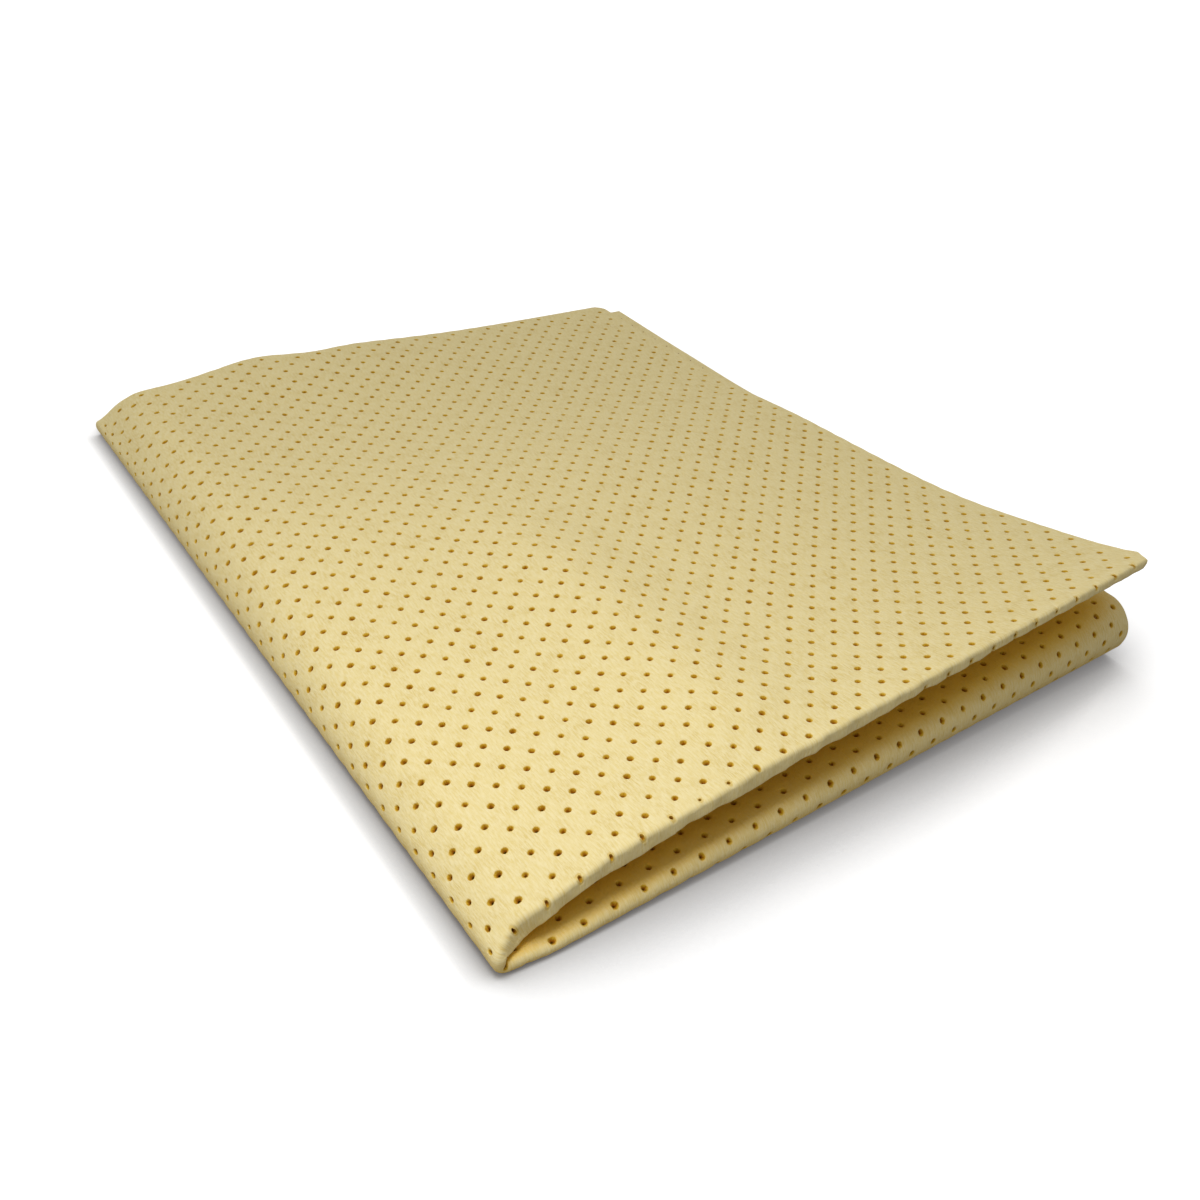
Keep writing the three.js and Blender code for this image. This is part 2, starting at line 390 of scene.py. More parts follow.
def smoothstep(value, low, high):
    share = np.clip((value - low) / (high - low), 0, 1)
    return share * share * (3 - 2 * share)


def lattice_place(across, along):
    """The column and row, in half steps from the first hole, of a place on the flat sheet."""
    column = LATTICE_BACK[0][0] * across + LATTICE_BACK[0][1] * along + LATTICE_BACK[0][3]
    row = LATTICE_BACK[1][0] * across + LATTICE_BACK[1][1] * along + LATTICE_BACK[1][3]
    return column, row


def nearest_hole(across, along):
    """The two diagonal counts of the hole nearest to a place, and the way from its middle to the place."""
    column, row = lattice_place(across, along)
    plus = np.round((column + row) / 2)
    minus = np.round((column - row) / 2)
    hole_column = plus + minus
    hole_row = plus - minus
    middle_across = LATTICE[0][0] * hole_column + LATTICE[0][1] * hole_row + LATTICE[0][3]
    middle_along = LATTICE[1][0] * hole_column + LATTICE[1][1] * hole_row + LATTICE[1][3]
    return plus, minus, across - middle_across, along - middle_along


def chance(plus, minus, draw):
    """A number from -1 to 1 that belongs to one hole, another for each draw."""
    wave = np.sin(plus * SCATTER[0] + minus * SCATTER[1] + draw * SCATTER[2]) * SCATTER[3]
    return 2 * (wave - np.floor(wave)) - 1


def bell(x, middle, half_width):
    return np.exp(-(((x - middle) / half_width) ** 2))


def crease_back(across):
    """How far from the middle of the sheet it is creased along the front."""
    return CREASE_BACK * smoothstep(across, 0, CREASE_BACK_RUN)


def roll_down(across):
    """How far past the middle of the sheet the bottom pair's roll lies."""
    return ROLL_DOWN * smoothstep(-across, 0, CREASE_BACK_RUN)


def top_long_edge(along):
    """How far outside its line the top pair's long edge lies, at that distance along the sheet."""
    wave = EDGE_WAVE * bell(along, EDGE_WAVE_AT, EDGE_WAVE_REACH)
    waist = EDGE_WAIST * bell(along, EDGE_WAIST_AT, EDGE_WAIST_REACH)
    tuck = INNER_TUCK * smoothstep(-along, INNER_TUCK_FROM, INNER_TUCK_TO)
    peek = INNER_PEEK * smoothstep(-along, INNER_PEEK_FROM, INNER_PEEK_TO)
    flare = INNER_FLARE * smoothstep(-along, INNER_PEEK_TO, HALF_LENGTH)
    tip = TIP_BLUNT * np.maximum(1 - abs(along) / TIP_RUN, 0)
    return EDGE_OUT + wave - waist - tuck + (peek + flare) - tip


def short_edge(across):
    """How far outside its line the sheet's end lies, nipped near the fold and rounded at its corners."""
    corner = HALF_WIDTH + EDGE_OUT - CORNER_RADIUS
    past = np.clip(abs(across) - corner, 0, CORNER_RADIUS)
    nip = BACK_NIP * bell(across, BACK_NIP_AT, BACK_NIP_REACH)
    crest = BACK_WAVE * bell(across, BACK_WAVE_AT, BACK_WAVE_REACH)
    trough = BACK_WAVE * bell(across, BACK_WAVE_AT + BACK_WAVE_STEP, BACK_WAVE_REACH)
    return np.sqrt(CORNER_RADIUS ** 2 - past ** 2) - CORNER_RADIUS - nip + crest - trough


def inner_short_edge(across):
    """The same at the inner layers' end."""
    return short_edge(across) - 2 * crease_back(across)


def hole_share(across, along):
    """How open a hole there is: those along the edges and under the crease are pressed shut."""
    long_edge = HALF_WIDTH + np.where(across > 0, top_long_edge(along), 0)
    end = HALF_LENGTH + np.where(along < 0, inner_short_edge(across), short_edge(across))
    room = np.minimum(abs(long_edge - abs(across)), abs(end - abs(along)))
    from_crease = along - crease_back(across)
    on_crease = (across > 0) & (abs(from_crease) < ON_CREASE)
    under = (across > 0) & (from_crease > UNDER_CREASE[0]) & (from_crease < UNDER_CREASE[1])
    return np.where((room < EDGE_CLEAR) | under, SHUT, np.where(on_crease, PRESSED, 1.0))


def cut_sheet(bm, axis, edge, bow=None, side=0):
    """Cuts the flat sheet along a line, bowed if need be, and drops what lies past it on the given side."""
    if bow:
        for vertex in bm.verts:
            vertex.co[axis] -= math.copysign(1, edge) * bow(vertex.co[1 - axis])
    normal = Vector((0, 0, 0))
    normal[axis] = 1 if side >= 0 else -1
    bmesh.ops.bisect_plane(
        bm,
        geom=bm.verts[:] + bm.edges[:] + bm.faces[:],
        dist=CUT_LINE,
        plane_co=Vector((edge, edge, 0)),
        plane_no=normal,
        clear_outer=side != 0,
    )
    if bow:
        for vertex in bm.verts:
            vertex.co[axis] += math.copysign(1, edge) * bow(vertex.co[1 - axis])


def flat_piece(name, span, reach, folds_across=(), folds_along=()):
    """A piece of the punched sheet, flat and solid, between the limits of span across and reach along it."""
    corners = [lattice_place(across, along) for across in span for along in reach]
    low_column = 2 * math.floor(min(c[0] for c in corners) / 2) - 2 * SPARE_CELLS
    low_row = 2 * math.floor(min(c[1] for c in corners) / 2) - 2 * SPARE_CELLS
    columns = math.ceil((max(c[0] for c in corners) - low_column) / 2) + SPARE_CELLS
    rows = math.ceil(max(c[1] for c in corners) - low_row) + SPARE_CELLS
    piece = bpy.data.objects.new(name, bpy.data.meshes.new(name))
    bpy.context.scene.collection.objects.link(piece)
    punching = piece.modifiers.new("punching", "NODES")
    punching.node_group = blank_tree
    for key, value in (
        ("Half Step", HALF_STEP),
        ("Hole Radius", HOLE_RADIUS),
        ("Rim Radius", RIM_RADIUS),
        ("Columns", columns),
        ("Rows", rows),
    ):
        punching[blank_inputs[key]] = value
    blank = bpy.data.meshes.new_from_object(piece.evaluated_get(bpy.context.evaluated_depsgraph_get()))
    piece.modifiers.remove(punching)
    blank.transform(Matrix.Scale(1 / HALF_STEP, 4))
    blank.transform(LATTICE @ Matrix.Translation((low_column, low_row, 0)))
    spots = np.empty(len(blank.vertices) * 3, np.float32)
    blank.vertices.foreach_get("co", spots)
    spots = spots.reshape(-1, 3).astype(float)
    _, _, aside, ahead = nearest_hole(spots[:, 0], spots[:, 1])
    closed = 1 - hole_share(spots[:, 0] - aside, spots[:, 1] - ahead)
    closed = np.where(np.hypot(aside, ahead) < HOLE_RADIUS + WELD, closed, 0)
    spots[:, 0] -= aside * closed
    spots[:, 1] -= ahead * closed
    blank.vertices.foreach_set("co", spots.astype(np.float32).ravel())
    bm = bmesh.new()
    bm.from_mesh(blank)
    for axis, limits, end, bows in (
        (0, span, HALF_WIDTH, (None, top_long_edge)),
        (1, reach, HALF_LENGTH, (inner_short_edge, short_edge)),
    ):
        for side, limit, bow in zip((-1, 1), limits, bows):
            cut_sheet(bm, axis, limit, bow if abs(limit) >= end else None, side)
    for axis, folds in ((0, folds_across), (1, folds_along)):
        for fold_line in folds:
            cut_sheet(bm, axis, fold_line)
    bmesh.ops.triangulate(bm, faces=bm.faces[:])
    for face in bm.faces:
        if face.normal.z < 0:
            face.normal_flip()
    bm.to_mesh(blank)
    bm.free()
    piece.data = blank
    wall = piece.modifiers.new("wall", "SOLIDIFY")
    wall.thickness = THICKNESS
    wall.offset = 0
    piece.data = bpy.data.meshes.new_from_object(piece.evaluated_get(bpy.context.evaluated_depsgraph_get()))
    piece.modifiers.remove(wall)
    piece.data.name = name
    return piece


# The fold
# The sheet is folded in half along its length and in half again across its width. The left fold turns up
# tightly from the table and bends over in a broad shoulder. The top pair's crease is nipped square.
LAYER_GAP = 0.45 * MM
FOOT_BEND = 0.3 * MM
SHOULDER_NOSE = 11.1 * MM
SHOULDER_MIDDLE = 13 * MM
SHOULDER_BACK = 13.5 * MM
SHOULDER_LOOSE = 60 * MM
DIP_NOSE = 4.2 * MM
DIP_MIDDLE = 1.7 * MM
DIP_BACK = 5.5 * MM
DIP_RUN = 10.3 * MM
INNER_DIP = 0.25  # share by which the inner layer dips deeper
LEFT_SLEW = 1.1 * MM
LEFT_SLEW_FADE = 90 * MM
TOP_HEIGHT = 17.9 * MM
REAR_SAG = 4.3 * MM
REAR_SAG_FROM = 127 * MM
REAR_SAG_TO = 197 * MM
RISE_RUN_FRONT = 69.9 * MM
RISE_RUN_BACK = 12.5 * MM
RISE_EASE = 5 * MM
FRONT_LIFT = 21.8 * MM
FRONT_LIFT_REACH = 43.6 * MM
BACK_HUMP = 3 * MM
BACK_HUMP_X = 69.6 * MM
BACK_HUMP_HALF_WIDTH = 42.2 * MM
BACK_HUMP_FROM = 208 * MM
FRONT_RIDGE = 3 * MM
FRONT_RIDGE_START = 25 * MM
FRONT_RIDGE_X = 72.7 * MM
FRONT_RIDGE_HALF_WIDTH = 17.2 * MM
FRONT_RIDGE_FROM = 90 * MM
FRONT_RIDGE_TO = 140 * MM
ROLL_HEIGHT = 17.2 * MM
ROLL_CLOSE = 120 * MM
ROLL_FORWARD = 0.7 * MM
ROLL_FORWARD_RUN = 15 * MM
LEFT_ABOVE = 30.5 * MM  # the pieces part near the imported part's seams, between two columns of holes
LEFT_BELOW = 11.6 * MM
TOP_EDGE = 5.15 * MM
BOTTOM_EDGE = 16.15 * MM
PLAN_SHARE = 0.99  # the sheet's rise and fall takes up the rest of its width
CREASE_SQUARE = 9.0  # 2 would be a round bend
CREASE_SQUARE_RUN = 14 * MM
CREASE_PUFF = 0.7 * MM  # how much wider half the crease is than half the pair behind it
CREASE_PUFF_CLOSE = 30 * MM
CREASE_PUFF_FROM = 60 * MM  # the crease narrows again towards its right end
CREASE_PUFF_UNEVEN = 0.35
CREASE_PUFF_STEP = 31 * MM
CREASE_WANDER = 0.25 * MM  # how far the crease's front strays from a straight line
CREASE_WANDER_STEPS = (23 * MM, 9.7 * MM)
CREASE_WANDER_REACH = 8 * MM
CREASE_LEAN = 0.12  # how far the crease's lower edge stands forward, as a share of its height
CREASE_LEAN_REACH = 7 * MM
CREASE_BULGE = 0.12 * MM  # how far the crease swells between two holes
CREASE_BULGE_REACH = 2.2 * MM
SLOPE_STEP = 0.02 * MM  # slopes are taken over this distance
SHARP_ANGLE = math.radians(50)  # the cut edges and the holes are shaded as sharp from here
RIM_START = 0.01  # with a larger share of a rim, the shading follows the mesh
HALF_SPACING = (THICKNESS + LAYER_GAP) / 2
PAIR_FRONT = HALF_SPACING + HALF_THICKNESS
FOOT_RADIUS = FOOT_BEND + THICKNESS + 2 * HALF_SPACING


def along_left_fold(y, nose, middle, back):
    """A size of the left fold at a distance from the front, given at the nose, half way and at the back."""
    share = np.clip(y / HALF_LENGTH, 0, 1)
    at_nose = nose * (1 - share) * (1 - 2 * share)
    half_way = middle * 4 * share * (1 - share)
    return at_nose + half_way + back * share * (2 * share - 1)


def shoulder_radius(y):
    """Outside radius of the left fold's upper half."""
    return along_left_fold(y, SHOULDER_NOSE, SHOULDER_MIDDLE, SHOULDER_BACK)


def shoulder_dip(distance, y):
    """How far the top pair sinks below that round, at a distance from the middle of the left fold."""
    share = distance / DIP_RUN
    return along_left_fold(y, DIP_NOSE, DIP_MIDDLE, DIP_BACK) * share ** 2 * np.exp(2 * (1 - share))


def top_surface(run, x, y):
    """Height of the top pair's upper face at a run past the left fold and a distance from the front."""
    left = FOOT_RADIUS + shoulder_radius(y)
    climb = run * run / (run + RISE_EASE)
    rise_run = RISE_RUN_FRONT + (RISE_RUN_BACK - RISE_RUN_FRONT) * smoothstep(2 * y / HALF_LENGTH, 0, 1)
    rise = 1 - np.exp(-climb / rise_run)
    level = TOP_HEIGHT - REAR_SAG * smoothstep(y, REAR_SAG_FROM, REAR_SAG_TO)
    lift = FRONT_LIFT * (climb / HALF_WIDTH) * np.exp(-np.maximum(y, 0) / FRONT_LIFT_REACH)
    hump = BACK_HUMP * bell(x, BACK_HUMP_X, BACK_HUMP_HALF_WIDTH)
    hump = hump * rise * smoothstep(y, BACK_HUMP_FROM, HALF_LENGTH)
    ridge = FRONT_RIDGE * bell(x, FRONT_RIDGE_X, FRONT_RIDGE_HALF_WIDTH)
    ridge_share = smoothstep(y, 0, FRONT_RIDGE_START) - smoothstep(y, FRONT_RIDGE_FROM, FRONT_RIDGE_TO)
    return left + (level - left) * rise + lift + hump + ridge * ridge_share


def roll_half_spacing(across, y):
    """Half the distance between the bottom pair's two layers, which part towards the roll's open end."""
    widest = ROLL_HEIGHT / 2 - HALF_THICKNESS
    widen = np.maximum(across - LEFT_BELOW, 0) / (HALF_WIDTH - LEFT_BELOW)
    return HALF_SPACING + (widest - HALF_SPACING) * widen * (1 - smoothstep(y, 0, ROLL_CLOSE))


def crease_half_spacing(across, y):
    """Half the distance between the top pair's two layers, which part a little at their crease."""
    puff = smoothstep(across, 0, CREASE_SQUARE_RUN) * (1 - smoothstep(across, CREASE_PUFF_FROM, HALF_WIDTH))
    uneven = 1 + CREASE_PUFF_UNEVEN * np.sin(math.tau * across / CREASE_PUFF_STEP)
    return HALF_SPACING + CREASE_PUFF * puff * uneven * (1 - smoothstep(y, 0, CREASE_PUFF_CLOSE))


def crease_wander(across, along):
    """How far the crease strays from its line there. It fades away from the crease."""
    waves = sum(np.sin(math.tau * across / step) for step in CREASE_WANDER_STEPS)
    fade = smoothstep(across, 0, CREASE_SQUARE_RUN) - smoothstep(across, CREASE_PUFF_FROM, HALF_WIDTH)
    return CREASE_WANDER / 2 * waves * fade * np.exp(-np.abs(along) / CREASE_WANDER_REACH)


def fold(across, along):
    """Where the middle of the cloth's thickness lies, once folded, from the nose's corner on the table."""
    is_top = across >= 0
    out = np.abs(across)
    set_back = crease_back(across) + crease_wander(across, along)
    along = along - set_back + roll_down(across)
    bend = np.where(is_top, crease_half_spacing(out, 0.0), roll_half_spacing(out, 0.0))
    bend_arc = math.pi / 2 * bend
    forward = np.where(is_top, 0, ROLL_FORWARD * smoothstep(out, 0, ROLL_FORWARD_RUN))
    bend_y = PAIR_FRONT + math.pi / 2 * (bend - HALF_SPACING) - forward + set_back
    turn = np.clip(along / bend, -math.pi / 2, math.pi / 2)
    square = 2 + (CREASE_SQUARE - 2) * smoothstep(across, 0, CREASE_SQUARE_RUN)
    reach = (np.abs(np.cos(turn)) ** square + np.abs(np.sin(turn)) ** square) ** (-1 / square)
    back = np.maximum(np.abs(along) - bend_arc, 0)
    y = bend_y - bend * reach * np.cos(turn) + back
    spacing = np.where(is_top, crease_half_spacing(out, back), roll_half_spacing(out, back))
    offset = np.where(back > 0, np.sign(along) * spacing, bend * reach * np.sin(turn))
    lean = CREASE_LEAN * smoothstep(across, 0, CREASE_SQUARE_RUN) * np.exp(-back / CREASE_LEAN_REACH)
    y = y + lean * offset
    offset = offset - np.where(is_top, np.where(back > 0, spacing, bend) - HALF_SPACING, 0)
    left_radius = np.where(is_top, shoulder_radius(y), FOOT_RADIUS)
    pair_radius = left_radius - PAIR_FRONT
    within_pair = np.clip(offset, -HALF_SPACING, HALF_SPACING)
    own_radius = pair_radius + within_pair * smoothstep(y, 0, SHOULDER_LOOSE)
    angle = np.clip(across / own_radius, -math.pi / 2, math.pi / 2)
    run = np.maximum(out - math.pi / 2 * own_radius, 0) * PLAN_SHARE
    slew = LEFT_SLEW * np.exp(-run / LEFT_SLEW_FADE) * np.maximum(y, 0) / HALF_LENGTH
    x = left_radius - (pair_radius + offset) * np.cos(angle) + run - slew
    on_turn = FOOT_RADIUS + (pair_radius + offset) * np.sin(angle)
    on_top = top_surface(run, left_radius + run, y) - PAIR_FRONT + offset
    on_bottom = HALF_THICKNESS + np.where(back > 0, spacing, bend) - offset
    inner_share = (1 - np.clip(offset / HALF_SPACING, -1, 1)) / 2
    dip = np.where(is_top, shoulder_dip(angle * pair_radius + run, y) * (1 + INNER_DIP * inner_share), 0)
    z = np.where(run > 0, np.where(is_top, on_top, on_bottom), on_turn) - dip
    return np.stack([x, y, z], 1)


def slope_normal(across, along):
    """The direction that the cloth's outer face points in, but for its swellings."""
    by_across = fold(across + SLOPE_STEP, along) - fold(across - SLOPE_STEP, along)
    by_along = fold(across, along + SLOPE_STEP) - fold(across, along - SLOPE_STEP)
    normal = np.cross(by_across, by_along)
    return normal / np.linalg.norm(normal, axis=1, keepdims=True)


def swell(across, along):
    """How far the outer face swells: it dips round each hole, and the crease bulges between its holes."""
    _, _, aside, ahead = nearest_hole(across, along)
    away = np.hypot(aside, ahead)
    dimple = -DIMPLE_DEPTH * bell(away, 0, DIMPLE_REACH)
    on_crease = smoothstep(across, 0, CREASE_SQUARE_RUN)
    on_crease = on_crease * bell(along, crease_back(across), CREASE_BULGE_REACH)
    bulge = CREASE_BULGE * on_crease * smoothstep(away, RIM_RADIUS, HALF_STEP)
    return dimple + bulge


def outer_normal(across, along):
    """The direction that the outer face points in, with the slope of its swellings."""
    normal = slope_normal(across, along)
    for step_across, step_along in ((SLOPE_STEP, 0), (0, SLOPE_STEP)):
        ahead = (across + step_across, along + step_along)
        behind = (across - step_across, along - step_along)
        way = fold(*ahead) - fold(*behind)
        way = way / np.linalg.norm(way, axis=1, keepdims=True)
        slope = (swell(*ahead) - swell(*behind)) / (2 * SLOPE_STEP)
        normal = normal - way * slope[:, None]
    return normal / np.linalg.norm(normal, axis=1, keepdims=True)


fold_line = np.array([0.0])
end_of_sheet = np.array([HALF_LENGTH])
left_limit = fold(fold_line, end_of_sheet) + HALF_THICKNESS * slope_normal(fold_line, end_of_sheet)
NOSE_CORNER = np.array([
    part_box("left_outer_fold")[0].x - left_limit[0, 0],
    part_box("top_front_fold")[0].y,
    0.0,
])


def folded_piece(name, span, reach, folds_across=(), folds_along=()):
    """A piece of the punched sheet, folded into its place in the frame."""
    piece = flat_piece(name, span, reach, folds_across, folds_along)
    mesh = piece.data
    flat = np.empty(len(mesh.vertices) * 3, np.float32)
    mesh.vertices.foreach_get("co", flat)
    across, along, height = flat.reshape(-1, 3).astype(float).T
    outer = height > 0
    plus, minus, aside, ahead = nearest_hole(across, along)
    away = np.hypot(aside, ahead)
    in_rim = 1 - smoothstep(away, HOLE_RADIUS + WELD, RIM_RADIUS)
    in_rim = in_rim * smoothstep(hole_share(across - aside, along - ahead), SHUT, 1)
    widen = 1 + HOLE_SPREAD * chance(plus, minus, 1)
    ragged = 1 + HOLE_SPREAD * chance(plus + np.round(aside / WELD), minus + np.round(ahead / WELD), 4) / 2
    narrow = np.where(outer, 1, THROAT_SHARE)
    grown = 1 + (widen * ragged * narrow - 1) * in_rim
    across = across + aside * (grown - 1) + HOLE_DRIFT * chance(plus, minus, 2) * in_rim
    along = along + ahead * (grown - 1) + HOLE_DRIFT * chance(plus, minus, 3) * in_rim

    normal = slope_normal(across, along)
    lifted = np.where(outer, HALF_THICKNESS + swell(across, along) - LIP_DEPTH * in_rim, -HALF_THICKNESS)
    placed = fold(across, along) + normal * lifted[:, None] + NOSE_CORNER
    mesh.vertices.foreach_set("co", placed.astype(np.float32).ravel())

    corner = np.empty(len(mesh.loops), np.int32)
    mesh.loops.foreach_get("vertex_index", corner)
    sides = np.empty(len(mesh.polygons), np.int32)
    mesh.polygons.foreach_get("loop_total", sides)
    starts = np.cumsum(sides) - sides
    owner = np.repeat(np.arange(len(sides)), sides)
    by_hole = away < HOLE_RADIUS + WELD
    on_outer = np.minimum.reduceat(outer[corner].astype(int), starts)[owner] > 0
    on_inner = np.maximum.reduceat(outer[corner].astype(int), starts)[owner] < 1
    in_hole = np.minimum.reduceat(by_hole[corner].astype(int), starts)[owner] > 0
    is_wall = ~on_outer & ~on_inner
    at_edge = (np.abs(across) > HALF_WIDTH - EDGE_ZONE) | (np.abs(along) > HALF_LENGTH - EDGE_ZONE)
    edge_wall = is_wall & ~in_hole & at_edge[corner]
    # painted shade: amber round each hole's rim, umber down its throat, and a little along the cut edges
    depth_at = np.where(on_outer, RIM_SHADE * in_rim[corner], 0.0)
    depth_at = np.where(is_wall & in_hole, np.where(outer[corner], RIM_SHADE, THROAT_SHADE), depth_at)
    depth_at = np.where(edge_wall, EDGE_SHADE, depth_at)
    depth_layer = mesh.attributes.new("painted_shade_depth", "FLOAT", "CORNER")
    depth_layer.data.foreach_set("value", depth_at.astype(np.float32))
    flat_layer = mesh.uv_layers.new(name="flat_sheet")
    flat_layer.data.foreach_set("uv", np.stack([across, along], 1)[corner].astype(np.float32).ravel())

    mesh.shade_smooth()
    mesh.set_sharp_from_angle(angle=SHARP_ANGLE)
    mesh.update()
    corner_normal = np.empty(len(mesh.loops) * 3, np.float32)
    mesh.corner_normals.foreach_get("vector", corner_normal)
    corner_normal = corner_normal.reshape(-1, 3)
    facing = np.where(on_outer[:, None], outer_normal(across, along)[corner], -normal[corner])
    smooth = (on_outer | on_inner) & (in_rim[corner] < RIM_START)
    corner_normal = np.where(smooth[:, None], facing, corner_normal)
    mesh.normals_split_custom_set(corner_normal.tolist())
    return piece


# The bottom pair
# Two layers of the sheet that lie on the table, joined along the front by a loose roll. The roll is tight at
# the nose and opens to the right, where its end shows.
ROLL_FINE = 0.35 * MM  # the flat strip is cut this finely where the roll is tight, to bend smoothly
ROLL_FINE_REACH = 2.1 * MM
ROLL_COARSE = 0.9 * MM
roll_folds = np.concatenate([
    np.arange(-ROLL_DOWN - ROLL_FINE_REACH, ROLL_FINE_REACH + ROLL_FINE / 2, ROLL_FINE),
    np.arange(ROLL_FINE_REACH + ROLL_COARSE, BOTTOM_EDGE, ROLL_COARSE),
    -np.arange(ROLL_DOWN + ROLL_FINE_REACH + ROLL_COARSE, BOTTOM_EDGE, ROLL_COARSE),
])
for node, reach, folds in (
    ("bottom_outer_panel", (BOTTOM_EDGE, HALF_LENGTH), ()),
    ("bottom_inner_panel", (-HALF_LENGTH, -BOTTOM_EDGE), ()),
    ("bottom_front_fold", (-BOTTOM_EDGE, BOTTOM_EDGE), roll_folds),
):
    cloth = folded_piece(f"{node}_cloth", (-HALF_WIDTH, -LEFT_BELOW), reach, (), folds)
    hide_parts(node)
    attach(cloth, "bottom")

# The left fold and the nose
# The strip of the sheet that turns over the left edge, two layers deep, and the near corner where the front
# fold crosses it.
FOOT_FINE = 0.5 * MM
FOOT_REACH = 5 * MM
SHOULDER_FINE = 1.5 * MM
SHOULDER_REACH = 24 * MM
CREASE_FINE = 0.25 * MM  # the strips are cut this finely at the crease and the nose
CREASE_FINE_REACH = 2.5 * MM
left_folds = np.concatenate([
    np.arange(-FOOT_REACH, FOOT_FINE, FOOT_FINE),
    np.arange(SHOULDER_FINE, SHOULDER_REACH, SHOULDER_FINE),
])
crease_folds = np.arange(-CREASE_FINE_REACH, CREASE_BACK + CREASE_FINE_REACH, CREASE_FINE)
nose_folds = np.arange(-ROLL_DOWN - ROLL_FINE_REACH / 2, CREASE_BACK + CREASE_FINE_REACH, CREASE_FINE)
for node, reach, folds in (
    ("left_outer_fold", (TOP_EDGE, HALF_LENGTH), ()),
    ("left_inner_fold", (-HALF_LENGTH, -TOP_EDGE), ()),
    ("nose_fold", (-TOP_EDGE, TOP_EDGE), nose_folds),
):
    cloth = folded_piece(f"{node}_cloth", (-LEFT_BELOW, LEFT_ABOVE), reach, left_folds, folds)
    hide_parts(node)
    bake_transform(cloth)

# The top pair
# The layer that shows, the layer under it, and the tight crease that joins them along the front. The pair
# swings up about the left fold.
for node, reach, folds in (
    ("top_outer_panel", (TOP_EDGE, HALF_LENGTH), ()),
    ("top_inner_panel", (-HALF_LENGTH, -TOP_EDGE), ()),
    ("top_front_fold", (-TOP_EDGE, TOP_EDGE), crease_folds),
):
    cloth = folded_piece(f"{node}_cloth", (LEFT_ABOVE, HALF_WIDTH), reach, (), folds)
    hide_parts(node)
    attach(cloth, "top")

# The table
# A plain white surface, larger than the picture. Its paint makes up for the lamp's fall-off, so that it stays
# white to the edges, and a painted shadow darkens it close to the cloth, but for the lamp's side.
TABLE_HALF_SIZE = 4.0
TABLE_WHITE = "#F4F4F4"
TABLE_BOUNCE = "#AAA69E"  # what the cloth sees of it
LAMP_PLACE = Vector((-125 * MM, -105 * MM, 210 * MM))
LAMP_LEVEL = 0.46
SKY_LEVEL = 0.5
FULL_WHITE = 1.35
# the painted shadow's darkest grey, where the cloth meets the table
CONTACT_SHADOW_GREY = "#7E7E80"
CONTACT_LEAN = (-0.65, 0.5, 0.57)  # the painted shadow falls to the front and the right
CONTACT_REACH = 32 * MM
CONTACT_DEPTH = 2.6
CONTACT_FADE = 5 * MM  # it fades out past the left fold, on the lamp's side

table_mesh = bpy.data.meshes.new("table")
table_mesh.from_pydata(
    [(x * TABLE_HALF_SIZE, y * TABLE_HALF_SIZE, 0) for x, y in ((-1, -1), (1, -1), (1, 1), (-1, 1))],
    [],
    [(0, 1, 2, 3)],
)
table = bpy.data.objects.new("table", table_mesh)
bpy.context.scene.collection.objects.link(table)
table_paint = bpy.data.materials.new("white_table")
table_paint.use_nodes = True
paint = table_paint.node_tree
paint_surface = paint.nodes["Principled BSDF"]
paint_surface.inputs["Roughness"].default_value = 0.9
paint_surface.inputs["Specular IOR Level"].default_value = 0.0
here = add_node(paint, "ShaderNodeNewGeometry")
from_lamp = add_node(paint, "ShaderNodeVectorMath", {
    0: here.outputs["Position"],
    1: (LAMP_PLACE.x, LAMP_PLACE.y, 0),
}, operation="DISTANCE")
lean_off = add_node(paint, "ShaderNodeMath", {
    0: from_lamp.outputs["Value"],
    1: LAMP_PLACE.z,
}, operation="DIVIDE")
squared = add_node(paint, "ShaderNodeMath", {
    0: lean_off.outputs["Value"],
    1: lean_off.outputs["Value"],
    2: 1.0,
}, operation="MULTIPLY_ADD")
fall_off = add_node(paint, "ShaderNodeMath", {0: squared.outputs["Value"], 1: -1.5}, operation="POWER")
missing = add_node(paint, "ShaderNodeMath", {
    0: fall_off.outputs["Value"],
    1: -LAMP_LEVEL,
    2: FULL_WHITE - SKY_LEVEL,
}, operation="MULTIPLY_ADD")
rays = add_node(paint, "ShaderNodeLightPath")
seen_direct = add_node(paint, "ShaderNodeMath", {
    0: rays.outputs["Is Camera Ray"],
    1: rays.outputs["Is Glossy Ray"],
}, operation="MAXIMUM")
seen = add_node(paint, "ShaderNodeMath", {
    0: seen_direct.outputs["Value"],
    1: rays.outputs["Is Transmission Ray"],
}, operation="MAXIMUM")
# painted shadow: the table darkens where the cloth is near
open_table = add_node(paint, "ShaderNodeAmbientOcclusion", {
    "Distance": CONTACT_REACH,
    "Normal": CONTACT_LEAN,
}, samples=16)
contact = add_node(paint, "ShaderNodeMath", {
    0: open_table.outputs["AO"],
    1: CONTACT_DEPTH,
}, operation="POWER")
place_on_table = add_node(paint, "ShaderNodeSeparateXYZ", {"Vector": here.outputs["Position"]})
lamp_side = add_node(paint, "ShaderNodeMapRange", {
    "Value": place_on_table.outputs["X"],
    "From Min": cad_box[0].x,
    "From Max": cad_box[0].x - CONTACT_FADE,
})
bright = add_node(paint, "ShaderNodeMath", {
    0: contact.outputs["Value"],
    1: lamp_side.outputs["Result"],
}, operation="MAXIMUM")
shade = add_node(paint, "ShaderNodeMix", {
    "Factor": bright.outputs["Value"],
    "A": linear(CONTACT_SHADOW_GREY),
    "B": linear(TABLE_WHITE),
}, data_type="RGBA")
glow = add_node(paint, "ShaderNodeMath", {
    0: seen.outputs["Value"],
    1: missing.outputs["Value"],
}, operation="MULTIPLY")
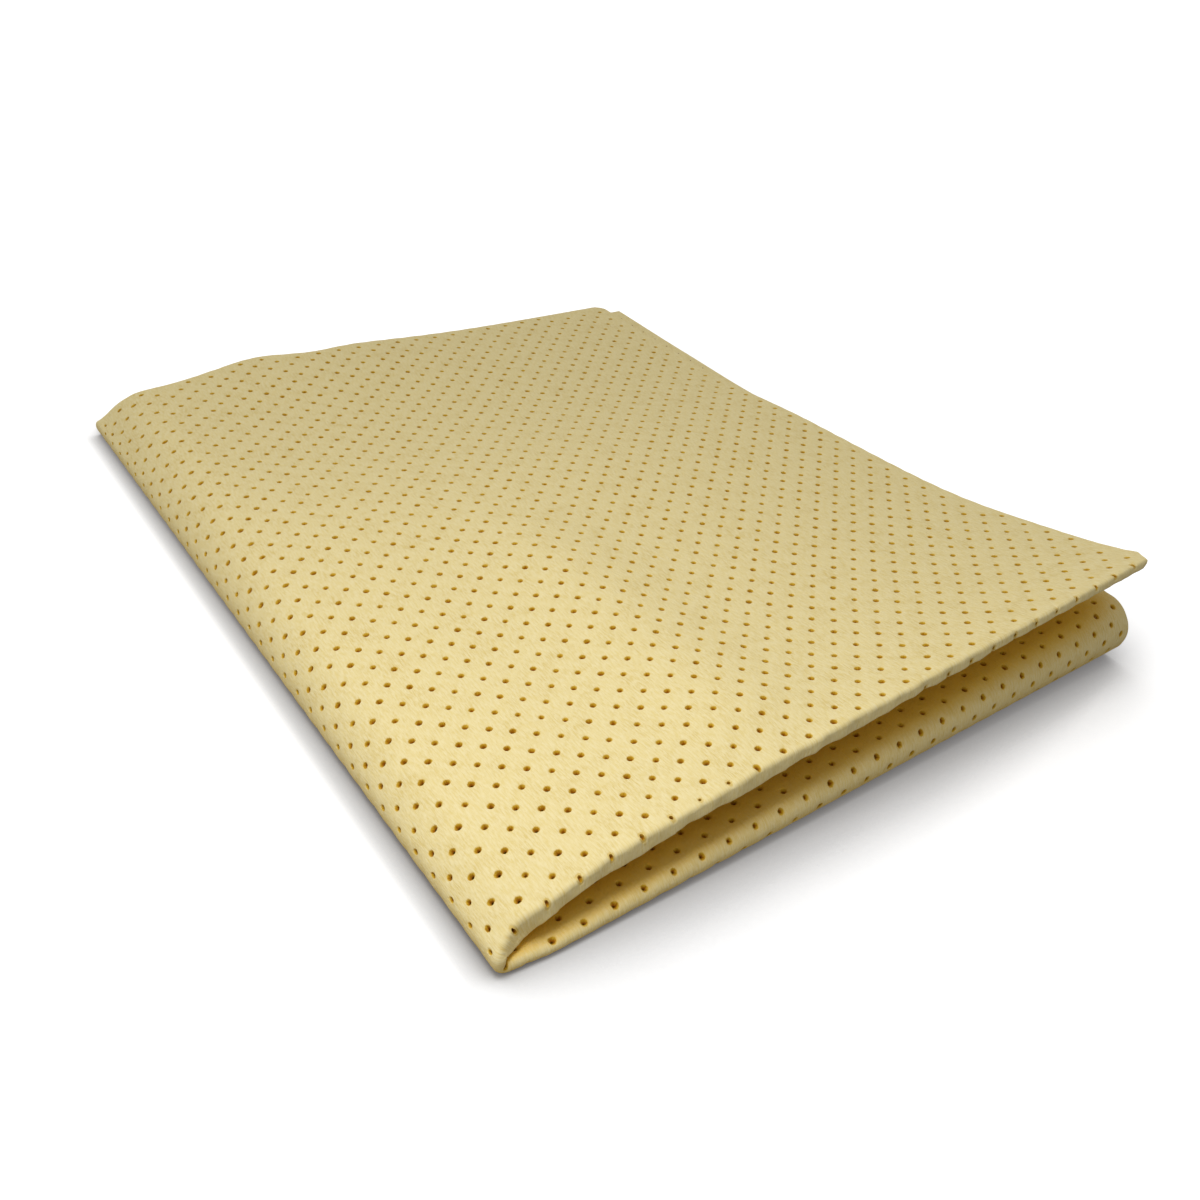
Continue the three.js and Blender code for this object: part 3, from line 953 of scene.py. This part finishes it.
bounce = add_node(paint, "ShaderNodeMix", {
    "Factor": seen.outputs["Value"],
    "A": linear(TABLE_BOUNCE),
    "B": shade.outputs["Result"],
}, data_type="RGBA")
paint.links.new(bounce.outputs["Result"], paint_surface.inputs["Base Color"])
paint.links.new(shade.outputs["Result"], paint_surface.inputs["Emission Color"])
paint.links.new(glow.outputs["Value"], paint_surface.inputs["Emission Strength"])
table_mesh.materials.append(table_paint)

# The light
# A white room, and a soft lamp low over the near left corner, so that the cloth darkens towards the far end.
LAMP_RADIUS = 45 * MM
SKY_LEAN = (-0.25, 0.3, 0.45)  # the room is brighter overhead, to the left and behind
scene = bpy.context.scene
scene.view_settings.view_transform = "Standard"
world = bpy.data.worlds.new("white_room")
world.use_nodes = True
world_rays = add_node(world.node_tree, "ShaderNodeLightPath")
world_seen = add_node(world.node_tree, "ShaderNodeMath", {
    0: world_rays.outputs["Is Camera Ray"],
    1: world_rays.outputs["Is Glossy Ray"],
}, operation="MAXIMUM")
world_way = add_node(world.node_tree, "ShaderNodeTexCoord")
toward = add_node(world.node_tree, "ShaderNodeVectorMath", {
    0: world_way.outputs["Generated"],
    1: [SKY_LEVEL * share for share in SKY_LEAN],
}, operation="DOT_PRODUCT")
sky = add_node(world.node_tree, "ShaderNodeMath", {
    0: toward.outputs["Value"],
    1: SKY_LEVEL * (1 - SKY_LEAN[2] * 2 / 3),
}, operation="ADD")
world_level = add_node(world.node_tree, "ShaderNodeMapRange", {
    "Value": world_seen.outputs["Value"],
    "To Min": sky.outputs["Value"],
    "To Max": 1.0,
})
world.node_tree.links.new(
    world_level.outputs["Result"],
    world.node_tree.nodes["Background"].inputs["Strength"],
)
world.node_tree.nodes["Background"].inputs["Color"].default_value = (1, 1, 1, 1)
scene.world = world
lamp = bpy.data.lights.new("key_lamp", "POINT")
lamp.shadow_soft_size = LAMP_RADIUS
lamp.energy = LAMP_LEVEL * 4 * math.pi ** 2 * LAMP_PLACE.z ** 2
lamp_holder = bpy.data.objects.new("key_lamp", lamp)
lamp_holder.location = LAMP_PLACE
lamp_holder.visible_camera = False
scene.collection.objects.link(lamp_holder)

# The camera
# Held above the near left corner and tipped a little to the right, as the cloth was photographed.
CAMERA_PLACE = (-177.9 * MM, -257.58 * MM, 193.21 * MM)
CAMERA_HEADING = math.radians(39.239)
CAMERA_TILT = math.radians(34.067)
CAMERA_ROLL = math.radians(5.964)
CAMERA_LENS = 36.893
CAMERA_SHIFT = -0.0442
lens = bpy.data.cameras.new("camera")
lens.sensor_width = 36.0
lens.lens = CAMERA_LENS
lens.shift_x = CAMERA_SHIFT
lens.clip_start = 1 * MM
camera = bpy.data.objects.new("camera", lens)
camera.matrix_world = (
    Matrix.Translation(CAMERA_PLACE)
    @ Matrix.Rotation(-CAMERA_HEADING, 4, "Z")
    @ Matrix.Rotation(math.pi / 2 - CAMERA_TILT, 4, "X")
    @ Matrix.Rotation(CAMERA_ROLL, 4, "Z")
)
scene.collection.objects.link(camera)
scene.camera = camera

# The scene is brought up to date
bpy.context.view_layer.update()
